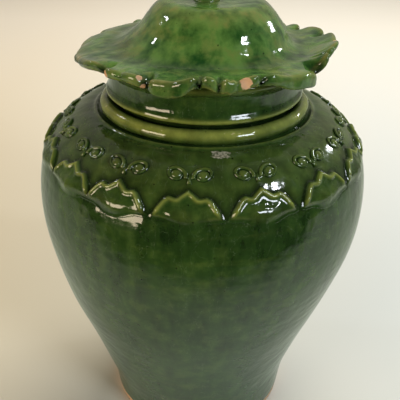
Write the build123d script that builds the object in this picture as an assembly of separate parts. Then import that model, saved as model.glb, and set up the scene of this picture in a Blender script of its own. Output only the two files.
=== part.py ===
"""A lidded ceramic fermenting crock: a wide-shouldered jar with a collar neck, leaf sprigs and curled
tendrils luted round its shoulder, a crowned lid with a waved and scalloped brim, and a pair of
half-round pressing weights that lie on the jar's floor.

Millimetres, +Z up. The origin is the centre of the foot, on the surface that the jar stands on.
Angles round the jar are measured from the front, which is -Y, towards +X.
"""

import os
from math import atan2, cos, degrees, hypot, pi, radians, sin

from build123d import *

# ---------------------------------------------------------------- driving dimensions
WALL = 8.0
FLOOR_THICKNESS = 12.0
FOOT_EDGE_RADIUS = 3.0
FOOT_RECESS_RADIUS = 70.0
FOOT_RECESS_DEPTH = 3.0

# The thrown outline of the jar, from the foot to the top of the shoulder: (radius, height).
BODY_OUTLINE = [
    (84.5, FOOT_EDGE_RADIUS),
    (91.0, 43.0),
    (106.0, 93.0),
    (123.5, 143.0),
    (136.8, 193.0),
    (140.3, 230.0),
    (136.0, 263.0),
    (126.5, 281.0),
    (113.0, 293.5),
    (100.0, 300.4),
]
SHOULDER_TOP = 302.0
SHOULDER_TOP_RADIUS = 91.0
NECK_OPENING_RADIUS = 69.0

COLLAR_TOP = 345.0
COLLAR_GROOVE_RADIUS = 74.5
COLLAR_RIDGE_RADIUS = 80.0
COLLAR_RIM_RADIUS = 82.0

BEAD_CENTRE_RADIUS = 79.8
BEAD_CENTRE_HEIGHT = 306.5
BEAD_SECTION_RADIUS = 5.8

SPRIG_HEIGHT = 2.6
TENDRIL_HEIGHT = 2.2
# Where each leaf stands round the shoulder. They are set by hand and so are a little uneven.
SPRIG_ANGLES = [
    -4.3, 19.1, 43.1, 66.0, 88.0, 110.5, 133.0, 155.0,
    177.5, 200.0, 222.5, 245.0, 267.5, 290.0, 312.1, 332.5,
]
LEAF_PLACE = (128.5, 276.0)       # radius and height of the leaf's middle
LEAF_NORMAL = (0.84, 0.54)        # outwards and upwards
TENDRIL_PLACE = (113.5, 293.3)
TENDRIL_NORMAL = (0.55, 0.835)

SEAT_GAP = 0.2                    # fired pieces that rest on each other meet at a few high spots only
LID_SEAT = COLLAR_TOP + SEAT_GAP
SEAT_LAND = 0.4                   # how far the flat land under the lid stands below the brim's sheet
BRIM_THICKNESS = 8.5
BRIM_RADIUS = 103.5
BRIM_FLAT_RADIUS = 84.0
BRIM_STATIONS = 42                # points across the brim's sheet, each way

# The wave pressed into the brim by hand: (angle, height of the edge's upper face). It hangs low at the
# front and on the left, and it is folded up on the right.
BRIM_WAVE = [
    (-78.0, 347.0),
    (-60.0, 352.5),
    (-42.0, 356.0),
    (-20.0, 355.0),
    (-2.0, 360.0),
    (20.0, 359.0),
    (44.0, 354.0),
    (66.0, 363.0),
    (84.0, 362.0),
    (104.0, 357.5),
    (128.0, 351.5),
    (158.0, 357.0),
    (188.0, 350.0),
    (207.0, 351.5),
    (230.0, 347.5),
    (260.0, 346.5),
]
FRONT_NOTCHES = [-70.0, -46.0, -23.5, -2.0, 5.5, 22.5, 38.0, 54.0, 68.0]
BACK_SCALLOPS = 18
SCALLOP_DEPTH = 3.2

# The lid's crown, from the brim to its nearly flat top: (radius, height).
CROWN_OUTLINE = [
    (72.0, 350.5),
    (61.0, 362.0),
    (51.5, 376.0),
    (46.0, 383.0),
    (36.0, 387.0),
]
CROWN_WALL = 6.5
LID_TOP = 387.0

LOCATING_RING_OUTER = 66.0
LOCATING_RING_INNER = 60.0
LOCATING_RING_DEPTH = 14.0

KNOB_HEIGHT = 27.0

WEIGHT_RADIUS = 64.0
WEIGHT_THICKNESS = 18.0
WEIGHT_GAP = 2.0
WEIGHT_HOLE_RADIUS = 10.0
WEIGHT_EDGE_RADIUS = 2.5


# ---------------------------------------------------------------- helpers
def around(radius, angle, height):
    """A point at an angle from the front, in degrees."""
    a = radians(angle)
    return Vector(radius * sin(a), -radius * cos(a), height)


def offset_outline(outline, distance):
    """Each point of an outline moved along the outline's own normal: outwards if distance is positive."""
    moved = []
    for i, (r, z) in enumerate(outline):
        r0, z0 = outline[max(i - 1, 0)]
        r1, z1 = outline[min(i + 1, len(outline) - 1)]
        length = hypot(r1 - r0, z1 - z0)
        moved.append((r + distance * (z1 - z0) / length, z - distance * (r1 - r0) / length))
    return moved


def turned(*lines):
    """A solid of revolution from the closed outline that these lines make, drawn as (radius, height)."""
    section = Plane.XZ * make_face(Curve() + list(lines))
    return revolve(section, Axis.Z)


def disc(radius, low, high):
    """A plain cylinder on the jar's axis."""
    return Pos(0, 0, low) * Cylinder(radius, high - low, align=(Align.CENTER, Align.CENTER, Align.MIN))


def facing_plane(place, normal):
    """A plane at (radius, height) at the front, facing along (outwards, upwards), with its x to the right."""
    outwards, upwards = normal
    return Plane(
        origin=(0, -place[0], place[1]), x_dir=(1, 0, 0), z_dir=(0, -outwards, upwards)
    )


def set_round(shape, angle):
    """A shape made at the front, turned to its angle."""
    return Rot(0, 0, angle) * shape


# ---------------------------------------------------------------- the jar
def outer_body():
    """The jar's outer form with no hollow."""
    foot = BODY_OUTLINE[0]
    top = BODY_OUTLINE[-1]
    foot_corner = ThreePointArc(
        (foot[0] - FOOT_EDGE_RADIUS, 0),
        (foot[0] - FOOT_EDGE_RADIUS * (1 - cos(pi / 4)), FOOT_EDGE_RADIUS * (1 - sin(pi / 4))),
        foot,
    )
    side = Spline(*BODY_OUTLINE, tangents=[(0.05, 1), (-1, 0.32)])
    shoulder = ThreePointArc(
        top, (0.5 * (top[0] + SHOULDER_TOP_RADIUS), SHOULDER_TOP - 0.35), (SHOULDER_TOP_RADIUS, SHOULDER_TOP)
    )
    close = Polyline(
        (SHOULDER_TOP_RADIUS, SHOULDER_TOP), (0, SHOULDER_TOP), (0, 0), (foot[0] - FOOT_EDGE_RADIUS, 0)
    )
    return turned(foot_corner, side, shoulder, close)


def cavity():
    """The jar's hollow, from its floor to the flat top of the shoulder."""
    wall_line = [p for p in offset_outline(BODY_OUTLINE, -WALL) if p[1] > FLOOR_THICKNESS + 10]
    first = wall_line[0]
    floor_corner = (first[0] - 9.0, FLOOR_THICKNESS)
    last = wall_line[-1]
    inside = Spline((first[0] - 4.5, FLOOR_THICKNESS + 10), *wall_line, tangents=[(0.2, 1), (-1, 0.3)])
    close = Polyline(
        last,
        (NECK_OPENING_RADIUS, SHOULDER_TOP - WALL + 1.0),
        (NECK_OPENING_RADIUS, SHOULDER_TOP + 1.0),
        (0, SHOULDER_TOP + 1.0),
        (0, FLOOR_THICKNESS),
        floor_corner,
        (first[0] - 4.5, FLOOR_THICKNESS + 10),
    )
    return turned(inside, close)


def jar_body(outer):
    """The thrown jar, hollowed, with a shallow recess that leaves a foot ring."""
    recess = disc(FOOT_RECESS_RADIUS, -1.0, FOOT_RECESS_DEPTH)
    return outer - cavity() - recess


def neck_collar():
    """The thrown collar that stands on the shoulder: a groove, a ridge, a wall and a rolled rim."""
    groove_top = SHOULDER_TOP + 10.0
    ridge = SHOULDER_TOP + 15.5
    wall_radius = COLLAR_RIDGE_RADIUS - 2.0
    rim_low = COLLAR_TOP - 10.0
    outside = [
        Line((COLLAR_GROOVE_RADIUS, SHOULDER_TOP), (COLLAR_GROOVE_RADIUS, groove_top)),
        ThreePointArc(
            (COLLAR_GROOVE_RADIUS, groove_top),
            (COLLAR_GROOVE_RADIUS + 2.0, ridge - 1.2),
            (COLLAR_RIDGE_RADIUS, ridge),
        ),
        Line((COLLAR_RIDGE_RADIUS, ridge), (wall_radius, ridge + 3.5)),
        Line((wall_radius, ridge + 3.5), (wall_radius, rim_low)),
        ThreePointArc(
            (wall_radius, rim_low),
            (COLLAR_RIM_RADIUS, COLLAR_TOP - 4.5),
            (wall_radius, COLLAR_TOP),
        ),
    ]
    inside = Polyline(
        (wall_radius, COLLAR_TOP),
        (NECK_OPENING_RADIUS + 2.0, COLLAR_TOP),
        (NECK_OPENING_RADIUS, COLLAR_TOP - 2.0),
        (NECK_OPENING_RADIUS, SHOULDER_TOP),
        (COLLAR_GROOVE_RADIUS, SHOULDER_TOP),
    )
    return turned(*outside, inside)


def neck_bead():
    """The coil laid round the foot of the collar, bedded on the shoulder and against the collar."""
    ring = revolve(
        Plane.XZ * (Pos(BEAD_CENTRE_RADIUS, BEAD_CENTRE_HEIGHT) * Circle(BEAD_SECTION_RADIUS)), Axis.Z
    )
    return ring - disc(BEAD_CENTRE_RADIUS * 2, 0, SHOULDER_TOP) - disc(
        COLLAR_GROOVE_RADIUS, SHOULDER_TOP - 1.0, COLLAR_TOP
    )


# ---------------------------------------------------------------- the relief on the shoulder
def relief_skin(outer, height):
    """A skin of one height lying on the shoulder, for the sprigs to be cut from."""
    band = [p for p in BODY_OUTLINE if p[1] > 180]
    raised = offset_outline(band, height)
    line = Spline(*raised)
    close = Polyline(raised[-1], (20, raised[-1][1]), (20, raised[0][1]), raised[0])
    return turned(line, close) - outer


def leaf_outline():
    """A leaf with a pointed head, two rounded shoulder lobes and two low side tips."""
    half = [
        ThreePointArc((0, 13.0), (3.6, 9.2), (8.2, 6.6)),
        ThreePointArc((8.2, 6.6), (12.5, 7.6), (15.6, 4.6)),
        ThreePointArc((15.6, 4.6), (19.2, -2.0), (23.2, -9.0)),
        ThreePointArc((23.2, -9.0), (15.0, -9.2), (9.0, -12.0)),
        ThreePointArc((9.0, -12.0), (4.5, -13.2), (0, -13.6)),
    ]
    other = [mirror(line, Plane.YZ) for line in half]
    return make_face(Curve() + half + other)


def leaf_sprig(skin):
    """One moulded leaf at the front, its back bedded on the jar."""
    prism = extrude(facing_plane(LEAF_PLACE, LEAF_NORMAL) * leaf_outline(), 12.0, both=True)
    return prism & skin


def tendril_pair(skin):
    """Two curls on one stem that stands on the leaf's head, at the front."""
    stem = Pos(0, -3.4) * Rectangle(3.0, 7.2)
    pair = stem
    for side in (-1, 1):
        curl = Pos(side * 8.4, 0) * (Ellipse(7.2, 5.3) - Ellipse(4.2, 2.4))
        pair = pair + curl
    prism = extrude(facing_plane(TENDRIL_PLACE, TENDRIL_NORMAL) * pair, 8.0, both=True)
    return prism & skin


# ---------------------------------------------------------------- the lid
def edge_height(angle):
    """Height of the edge's upper face at an angle, smooth between the pressed places."""
    angles = [place[0] for place in BRIM_WAVE] + [BRIM_WAVE[0][0] + 360.0]
    heights = [place[1] for place in BRIM_WAVE] + [BRIM_WAVE[0][1]]
    angle = (angle - angles[0]) % 360.0 + angles[0]
    after = next(k for k in range(1, len(angles)) if angle <= angles[k])
    share = (angle - angles[after - 1]) / (angles[after] - angles[after - 1])
    blend = (1 - cos(pi * share)) / 2
    return heights[after - 1] + blend * (heights[after] - heights[after - 1])


def brim_top(x, y):
    """Height of the brim's upper face: flat near the crown, waving more and more towards the edge."""
    share = (hypot(x, y) - BRIM_FLAT_RADIUS) / (BRIM_RADIUS - BRIM_FLAT_RADIUS)
    share = min(max(share, 0.0), 1.25)
    flat = LID_SEAT + BRIM_THICKNESS
    return flat + share**1.5 * (edge_height(degrees(atan2(x, -y))) - flat)


def brim():
    """The waved brim: one smooth sheet with thickness, trimmed to a ring with a scalloped edge."""
    reach = BRIM_RADIUS + 4.0
    stations = [reach * (2 * i / BRIM_STATIONS - 1) for i in range(BRIM_STATIONS + 1)]
    grid = [[Vector(x, y, brim_top(x, y)) for y in stations] for x in stations]
    sheet = Face.make_surface_from_array_of_points(grid, tol=0.02, min_deg=3)
    slab = extrude(sheet, BRIM_THICKNESS - SEAT_LAND, dir=(0, 0, -1))
    hole = disc(LOCATING_RING_OUTER, LID_SEAT - 20.0, LID_TOP)
    return slab & (scalloped_prism() - hole)


def scalloped_prism():
    """A tall prism whose outline is a ring of shallow scallops, uneven at the front."""
    back = 360.0 + FRONT_NOTCHES[0] - FRONT_NOTCHES[-1]
    notches = FRONT_NOTCHES + [FRONT_NOTCHES[-1] + back * k / BACK_SCALLOPS for k in range(1, BACK_SCALLOPS)]
    arcs = []
    for notch, following in zip(notches, notches[1:] + [notches[0] + 360.0]):
        ends = [around(BRIM_RADIUS - SCALLOP_DEPTH, a, 0) for a in (notch, following)]
        arcs.append(ThreePointArc(ends[0], around(BRIM_RADIUS, (notch + following) / 2, 0), ends[1]))
    face = make_face(Curve() + arcs)
    return Pos(0, 0, LID_SEAT - 15.0) * extrude(face, 45.0, dir=(0, 0, 1))


def crown():
    """The lid's hollow crown, and the flat land under it that rests on the collar's rim."""
    foot = CROWN_OUTLINE[0]
    top = CROWN_OUTLINE[-1]
    inner = offset_outline(CROWN_OUTLINE, -CROWN_WALL)[1:-1]
    inner_foot = (foot[0] - 8.5, foot[1])
    inner_top = (top[0] - 3.0, LID_TOP - CROWN_WALL)
    side = Spline(*CROWN_OUTLINE, tangents=[(-0.6, 1), (-1, 0)])
    hollow = Spline(inner_foot, *inner, inner_top, tangents=[(-0.3, 1), (-1, 0)])
    ceiling = Polyline(top, (0, LID_TOP), (0, LID_TOP - CROWN_WALL), inner_top)
    sole = Polyline(
        inner_foot,
        (inner_foot[0], LID_SEAT),
        (BRIM_FLAT_RADIUS, LID_SEAT),
        (BRIM_FLAT_RADIUS, foot[1]),
        foot,
    )
    return turned(side, hollow, ceiling, sole)


def lid_shell():
    """Crown and brim, thrown as one."""
    return crown() + brim()


def lid_locating_ring():
    """The ring under the lid that drops into the collar and keeps the lid centred."""
    low = LID_SEAT - LOCATING_RING_DEPTH
    section = Polyline(
        (LOCATING_RING_INNER, LID_SEAT),
        (LOCATING_RING_INNER + 0.6, low),
        (LOCATING_RING_OUTER - 1.6, low),
        (LOCATING_RING_OUTER, low + 2.5),
        (LOCATING_RING_OUTER, LID_SEAT),
        (LOCATING_RING_INNER, LID_SEAT),
    )
    return turned(section)


def lid_knob():
    """The thrown knob: a spread foot, a waist and a round head."""
    side = Spline(
        (10.5, LID_TOP),
        (7.6, LID_TOP + 5.5),
        (13.6, LID_TOP + 15.5),
        (10.0, LID_TOP + 23.5),
        (0, LID_TOP + KNOB_HEIGHT),
        tangents=[(-0.8, 1), (-1, 0)],
    )
    close = Polyline((0, LID_TOP + KNOB_HEIGHT), (0, LID_TOP), (10.5, LID_TOP))
    return turned(side, close)


# ---------------------------------------------------------------- the pressing weights
def half_weight(side):
    """A half-round weight with a finger hole; side is -1 for the left half and 1 for the right."""
    whole = Cylinder(WEIGHT_RADIUS, WEIGHT_THICKNESS, align=(Align.CENTER, Align.CENTER, Align.MIN))
    reach = 2 * WEIGHT_RADIUS
    keep = Pos(side * (reach / 2 + WEIGHT_GAP / 2), 0, WEIGHT_THICKNESS / 2) * Box(
        reach, 2 * reach, 2 * WEIGHT_THICKNESS
    )
    half = whole & keep
    flat_edges = half.faces().sort_by(Axis.Z)[-1].edges() + half.faces().sort_by(Axis.Z)[0].edges()
    half = fillet(flat_edges, WEIGHT_EDGE_RADIUS)
    hole = Pos(side * 0.45 * WEIGHT_RADIUS, 0, WEIGHT_THICKNESS / 2) * Cylinder(
        WEIGHT_HOLE_RADIUS, 2 * WEIGHT_THICKNESS
    )
    return Pos(0, 0, FLOOR_THICKNESS + SEAT_GAP) * (half - hole)


# ---------------------------------------------------------------- all the pieces
def make_pieces():
    """Every piece by the name of its node."""
    outer = outer_body()
    leaf = leaf_sprig(relief_skin(outer, SPRIG_HEIGHT))
    tendrils = tendril_pair(relief_skin(outer, TENDRIL_HEIGHT)) - leaf
    pieces = {
        "jar_body": jar_body(outer),
        "neck_collar": neck_collar(),
        "neck_bead": neck_bead(),
        "lid_shell": lid_shell(),
        "lid_locating_ring": lid_locating_ring(),
        "lid_knob": lid_knob(),
        "weight_left": half_weight(-1),
        "weight_right": half_weight(1),
    }
    for number, angle in enumerate(SPRIG_ANGLES, start=1):
        pieces[f"leaf_sprig_{number:02d}"] = set_round(leaf, angle)
        pieces[f"tendril_pair_{number:02d}"] = set_round(tendrils, angle)
    return pieces


def main():
    os.makedirs("parts", exist_ok=True)
    for name, shape in make_pieces().items():
        export_step(shape, f"parts/{name}.step")


main()
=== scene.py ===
# %% [markdown]
# # A green-glazed fermenting crock with a waved lid
#
# The real crock is thrown on a wheel in red clay: a wide-shouldered jar, a collar, a coil bead where the
# two meet, and a lid whose soft brim was waved by hand and pinched into scallops. Leaves and curls were
# pressed in moulds and stuck on with slip. Then everything was covered in one thick, runny copper-green
# lead glaze. That glaze is the whole look: it breaks olive where it runs thin over a ridge, and pools
# almost black in a corner. Here the olive on some crests is also a painted highlight, and the dark in
# corners and under edges is also painted shade.
#
# The imported model is the fixed frame. It gives every size and every moving body, and the looks are built
# around it.

from math import cos, pi, radians, sin, sqrt

import bmesh
import bpy
import numpy as np
from mathutils import Matrix, Vector


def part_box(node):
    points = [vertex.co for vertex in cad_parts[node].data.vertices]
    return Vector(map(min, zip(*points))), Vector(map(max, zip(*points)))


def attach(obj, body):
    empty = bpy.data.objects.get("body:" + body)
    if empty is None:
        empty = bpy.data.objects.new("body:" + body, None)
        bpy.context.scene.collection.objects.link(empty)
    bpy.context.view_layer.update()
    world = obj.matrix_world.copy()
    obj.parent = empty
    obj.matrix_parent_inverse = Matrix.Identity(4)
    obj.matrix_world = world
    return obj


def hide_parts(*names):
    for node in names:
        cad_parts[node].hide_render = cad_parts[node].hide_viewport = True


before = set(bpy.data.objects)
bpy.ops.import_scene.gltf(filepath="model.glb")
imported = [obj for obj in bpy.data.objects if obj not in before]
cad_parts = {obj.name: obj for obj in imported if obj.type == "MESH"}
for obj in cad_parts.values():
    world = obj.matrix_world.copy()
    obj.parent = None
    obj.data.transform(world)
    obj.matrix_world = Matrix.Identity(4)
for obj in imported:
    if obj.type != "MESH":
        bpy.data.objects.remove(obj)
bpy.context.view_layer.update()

# %% [markdown]
# ## Small tools used throughout
#
# Lengths are written in millimetres, as a potter would say them, and turned to metres in one place.
# Angles round the crock start at the front, which is -Y, and grow towards +X.
#
# Hand work is never exact. A seeded sum of slow waves gives a smooth random value at any point, so a wall
# can wander by half a millimetre and still be the same wall every time that the script runs.

# %% Points, angles and smooth lines
MM = 0.001


def around(radius, angle, height):
    """Points at angles in radians from the front, as an array with x, y and z in its last place."""
    radius, angle, height = np.broadcast_arrays(radius, angle, height)
    return np.stack([radius * np.sin(angle), -radius * np.cos(angle), height], axis=-1)


def smooth_line(points, step, closed=False):
    """A smooth curve through (x, y) points, as points about one step apart."""
    points = np.array(points, float)
    count = len(points)
    last = count if closed else count - 1
    line = []
    for i in range(last):
        if closed:
            before, start, end, after = (points[(i + k) % count] for k in (-1, 0, 1, 2))
        else:
            before, start, end, after = (points[min(max(i + k, 0), count - 1)] for k in (-1, 0, 1, 2))
        chord = np.linalg.norm(end - start)
        leave = (end - before) * chord / (np.linalg.norm(start - before) + chord)
        arrive = (after - start) * chord / (chord + np.linalg.norm(after - end))
        pieces = max(1, round(chord / step))
        for t in np.arange(pieces) / pieces:
            a = 2 * t**3 - 3 * t**2 + 1
            b = t**3 - 2 * t**2 + t
            c = -2 * t**3 + 3 * t**2
            d = t**3 - t**2
            line.append(a * start + b * leave + c * end + d * arrive)
    if not closed:
        line.append(points[-1])
    return np.array(line)


def ease(value, low, high):
    """0 below low, 1 above high, and a smooth step between them."""
    t = np.clip((np.asarray(value, float) - low) / (high - low), 0, 1)
    return t * t * (3 - 2 * t)


def wander(points, size, seed, waves=16):
    """A smooth random value from about -1 to 1 at each point, in bumps about size across."""
    dice = np.random.default_rng(seed)
    direction = dice.normal(size=(waves, points.shape[-1]))
    direction /= np.linalg.norm(direction, axis=1)[:, None]
    turns = direction / (size * dice.uniform(1.4, 3.2, waves))[:, None]
    phase = dice.uniform(0, 2 * pi, waves)
    return np.sin(2 * pi * (points @ turns.T) + phase).sum(axis=-1) * sqrt(1 / waves)


# %% Make a mesh object
def make_piece(name, points, faces, marks=None):
    """A smooth-shaded mesh object from points in millimetres. Marks are named values, one per point."""
    mesh = bpy.data.meshes.new(name)
    mesh.from_pydata((np.asarray(points) * MM).tolist(), [], [tuple(f) for f in faces])
    for mark, values in (marks or {}).items():
        mesh.attributes.new(mark, "FLOAT", "POINT").data.foreach_set("value", np.float32(values))
    return finish_piece(name, mesh)


def finish_piece(name, mesh):
    """Closes the poles and seams of a mesh, turns its faces outwards and puts it in the scene."""
    work = bmesh.new()
    work.from_mesh(mesh)
    bmesh.ops.remove_doubles(work, verts=work.verts, dist=0.002 * MM)
    bmesh.ops.recalc_face_normals(work, faces=work.faces)
    for face in work.faces:
        face.smooth = True
    work.to_mesh(mesh)
    work.free()
    piece = bpy.data.objects.new(name, mesh)
    bpy.context.scene.collection.objects.link(piece)
    print(f"{name}: {len(mesh.polygons)} faces, {len(mesh.vertices)} points")
    return piece


def grid_faces(rows, columns, wrap_rows=False, wrap_columns=True):
    """Quads over a grid of points numbered row by row."""
    row, column = np.meshgrid(
        np.arange(rows if wrap_rows else rows - 1),
        np.arange(columns if wrap_columns else columns - 1),
        indexing="ij",
    )
    below, above = row * columns, (row + 1) % rows * columns
    side = (column + 1) % columns
    quads = np.stack([below + column, below + side, above + side, above + column], axis=-1)
    return quads.reshape(-1, 4)


# %% [markdown]
# ## The jar
#
# A thrown pot is a shape of revolution that its maker's hands disturb. It could be a Screw modifier on an
# outline, but then the disturbance has to come from somewhere else. Here the outline is turned in mesh
# code, so each point's radius can carry the slow wander of the wall and the faint spiral that fingers leave
# as they climb. The rows stand closest where the outline bends most.

# %% The jar's outline
FOOT_RADIUS = 84.5
RECESS_RADIUS = 70
RECESS_DEPTH = 3
FLOOR_TOP = 12
WALL = 8
SHOULDER_TOP = 302
COLLAR_HOLE = 69

JAR_SIDE = [
    (84.5, 3), (91, 43), (106, 93), (123.5, 143), (136.8, 193),
    (140.1, 230), (136, 263), (126.5, 281), (113, 293.5), (100, 300.4), (91, 302),
]
jar_side = smooth_line(JAR_SIDE, 1.7)

slope = np.gradient(jar_side, axis=0)
slope /= np.linalg.norm(slope, axis=1)[:, None]
jar_normal = np.stack([slope[:, 1], -slope[:, 0]], axis=1)
jar_length = np.concatenate([[0], np.cumsum(np.linalg.norm(np.diff(jar_side, axis=0), axis=1))])

foot_corner = [
    (FOOT_RADIUS - 3 * (1 - cos(a)), 3 - 3 * sin(a)) for a in np.linspace(pi / 2, 0, 5, endpoint=False)
]
inside = (jar_side - WALL * jar_normal)[::-4]
inside = inside[(inside[:, 1] > FLOOR_TOP + 10) & (inside[:, 1] < SHOULDER_TOP - WALL)]
underneath = [(r, RECESS_DEPTH) for r in (0, 35, RECESS_RADIUS - 2)] + [(RECESS_RADIUS, 0.8)]
foot_ring = [(RECESS_RADIUS + 1, 0), (76, 0)]
step_ridge = [(90.6, 302.5), (89.4, 303.1), (88.1, 302.7), (87.2, 301.8), (85.5, 301.6)]
top_land = [(80, SHOULDER_TOP), (COLLAR_HOLE + 1, SHOULDER_TOP), (COLLAR_HOLE, SHOULDER_TOP - 1)]
neck_wall = [(COLLAR_HOLE, SHOULDER_TOP - 6), (COLLAR_HOLE + 3, SHOULDER_TOP - 8.5)]
inner_floor = [(76, 16), (70, FLOOR_TOP), (35, FLOOR_TOP), (0, FLOOR_TOP)]
jar_outline = np.vstack(
    [underneath, foot_ring, foot_corner, jar_side, step_ridge, top_land, neck_wall, inside, inner_floor]
)
print(f"jar outline: {len(jar_outline)} points, side {jar_length[-1]:.0f} mm long")


# %% Turn the jar
JAR_STEPS = 360
WALL_WANDER = 0.35      # how far the wall wanders from round
THROWING_RING = 0.05    # depth of the spiral that the fingers leave
THROWING_PITCH = 9.0
SLUMP = 2.2             # the lower wall leans this far to the left
SLUMP_WIDER = 0.8


def turn(outline, steps, closed=False):
    """Points and faces of an outline turned about the axis."""
    angle = np.linspace(0, 2 * pi, steps, endpoint=False)
    points = around(outline[:, :1], angle[None, :], outline[:, 1:])
    return points.reshape(-1, 3), grid_faces(len(outline), steps, wrap_rows=closed)


def push_out(points, amount):
    """Points moved away from the axis by an amount each; points on the axis stay."""
    radius = np.hypot(points[:, 0], points[:, 1])
    factor = np.where(radius > 1, 1 + amount / np.maximum(radius, 1), 1)
    return points * np.stack([factor, factor, np.ones_like(factor)], axis=1)


points, faces = turn(jar_outline, JAR_STEPS)
angle = np.arctan2(points[:, 0], -points[:, 1])
height = points[:, 2]
free = ease(height, 4, 25) * (1 - ease(height, 286, 300))
rings = np.sin(2 * pi * height / THROWING_PITCH + angle + 0.8 * wander(points, 60, 3))
softness = 0.5 + 0.5 * wander(points, 45, 4)
uneven_wall = WALL_WANDER * (wander(points, 55, 1) - 1)
points = push_out(points, free * (uneven_wall + THROWING_RING * rings * softness))
slump = ease(height, 15, 60) * (1 - ease(height, 120, 200))
points = push_out(points, SLUMP_WIDER * slump)
points[:, 0] -= SLUMP * slump
jar_points, jar_faces = points, faces
print("jar wall turned:", len(jar_points), "points")

# %% [markdown]
# ## The collar and its bead
#
# The collar was thrown apart and set on the shoulder. It has a tooled groove at its foot, a sharp ridge, a
# plain wall and a rolled rim. The bead is a coil laid into the corner outside the groove and smoothed with
# a wet finger, so it is round but not even. Both are closed outlines turned about the axis.

# %% Turn the collar and the bead
COLLAR_SECTION = [
    (74.8, 301.5), (74.3, 306), (74.4, 310.5), (76.6, 313.6), (79.9, 316.6), (79.7, 319),
    (78, 322.5), (77.6, 329), (78.4, 335), (81.3, 338.6), (81.9, 341.6), (79.8, 344.4),
    (75.5, 345), (71, 344.3), (69.3, 341.5), (69.2, 322), (69.2, 303), (71, 301.5),
]
BEAD_CENTRE = (79.8, 306.5)
BEAD_RADIUS = 5.8
BEAD_THIN_AND_LIT_SIDE = radians(48)  # glaze ran off the bead's upper outer side, so it is thinnest and palest there; that pale side is also a painted highlight

points, faces = turn(smooth_line(COLLAR_SECTION, 1.0, closed=True), 300, closed=True)
edge = np.exp(-(((points[:, 2] - 317.3) / 1.6) ** 2)) + 0.4 * np.exp(-(((points[:, 2] - 341) / 2.5) ** 2))
points = push_out(points, 0.3 * wander(points, 40, 6) * ease(points[:, 2], 303, 312))
# Dark in the groove at the collar's foot: pooled glaze and painted shade.
groove_pool_and_shade = np.exp(-(((points[:, 2] - 309) / 4.5) ** 2))
collar = make_piece("collar", points, faces, {"thin": 0.75 * edge, "pool": groove_pool_and_shade})

turns = np.linspace(0, 2 * pi, 36, endpoint=False)
bead_section = np.stack([np.cos(turns), np.sin(turns)], axis=1) * BEAD_RADIUS + BEAD_CENTRE
points, faces = turn(bead_section, 360, closed=True)
slope = np.arctan2(points[:, 2] - BEAD_CENTRE[1], np.hypot(points[:, 0], points[:, 1]) - BEAD_CENTRE[0])
# The bead's upper outer crest is paler: thin glaze, and a painted highlight along its top.
crest_thin_and_glint = np.clip(np.cos(slope - BEAD_THIN_AND_LIT_SIDE), 0, 1) ** 3
points = push_out(points, 0.35 * wander(points, 22, 8))
points[:, 2] += 0.25 * wander(points, 30, 9)
bead = make_piece("coil_bead", points, faces, {"thin": 0.05 + 0.74 * crest_thin_and_glint})

# %% [markdown]
# ## The moulded leaves
#
# Each leaf was pressed in a mould, so it has a raised rim like a little mountain range, a shallow middle
# with a faint midrib, and a swollen lower half. A closed relief like this is easiest as a height over a
# flat patch: the height comes from the distance to the leaf's outline. Past the outline it drops just under
# the jar's surface, and the slope there is gentle, which is how glaze fillets a joint.
#
# The flat patch is then laid on the shoulder: across becomes an angle, up becomes a length along the jar's
# outline, and height goes along the outline's normal.

# %% Lay a flat patch on the shoulder
def on_shoulder(across, up, height, middle_height):
    """Points on the jar's front, from places on a flat patch whose middle is at a height on the jar."""
    middle = np.interp(middle_height, jar_side[:, 1], jar_length)
    along = middle + up
    radius = np.interp(along, jar_length, jar_side[:, 0])
    level = np.interp(along, jar_length, jar_side[:, 1])
    outwards = np.interp(along, jar_length, jar_normal[:, 0])
    upwards = np.interp(along, jar_length, jar_normal[:, 1])
    return around(radius + height * outwards, across / radius, level + height * upwards)


def distance_inside(places, outline):
    """How far each place lies inside a closed outline; negative outside."""
    starts, ends = outline, np.roll(outline, -1, axis=0)
    edge = ends - starts
    to_place = places[:, None, :] - starts[None]
    share = np.clip((to_place * edge).sum(-1) / (edge * edge).sum(-1), 0, 1)
    distance = np.linalg.norm(to_place - share[..., None] * edge, axis=-1).min(axis=1)
    x, y = places[:, 0], places[:, 1]
    crosses = (starts[None, :, 1] > y[:, None]) != (ends[None, :, 1] > y[:, None])
    rise = np.where(edge[:, 1] == 0, 1e-9, edge[:, 1])
    crossing_x = starts[:, 0] + (y[:, None] - starts[:, 1]) * edge[:, 0] / rise
    inside_count = (crosses & (x[:, None] < crossing_x)).sum(axis=1)
    return np.where(inside_count % 2 == 1, distance, -distance)


# %% One leaf
LEAF_MIDDLE = 276       # the leaf's middle, as a height on the jar
LEAF_CELL = 0.6         # spacing of the patch's points
LEAF_HALF = [
    (0, 13.2), (2.4, 11.2), (5, 9.2), (7.6, 7.2), (9.8, 7.4), (12.6, 8), (15.4, 6.6),
    (18.2, 3.6), (20.8, 0), (23.6, -4), (25.6, -7.6), (22, -8.2), (17, -8.6), (12, -10.4),
    (7.5, -12.2), (3.5, -13.2),
]
BED = 0.35              # how deep a leaf's edge is bedded under the jar's surface
LOW_THICKNESS = 0.55    # how far the leaf's lower edge stands out
TOP_THICKNESS = 0.8     # how much further its upper edge stands out
RIM_HEIGHT = 1.3
SWELL_HEIGHT = 1.7      # the lower half's swelling
DISH_DEPTH = 0.35
MIDRIB_HEIGHT = 0.2
VEIN_HEIGHT = 0.1
RIM_THIN = 0.64         # how thin the glaze lies on the rim

leaf_half = smooth_line(LEAF_HALF + [(0, -13.4)], 1.0)
leaf_line = np.vstack([leaf_half, (leaf_half * [-1, 1])[-2:0:-1]])


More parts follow.
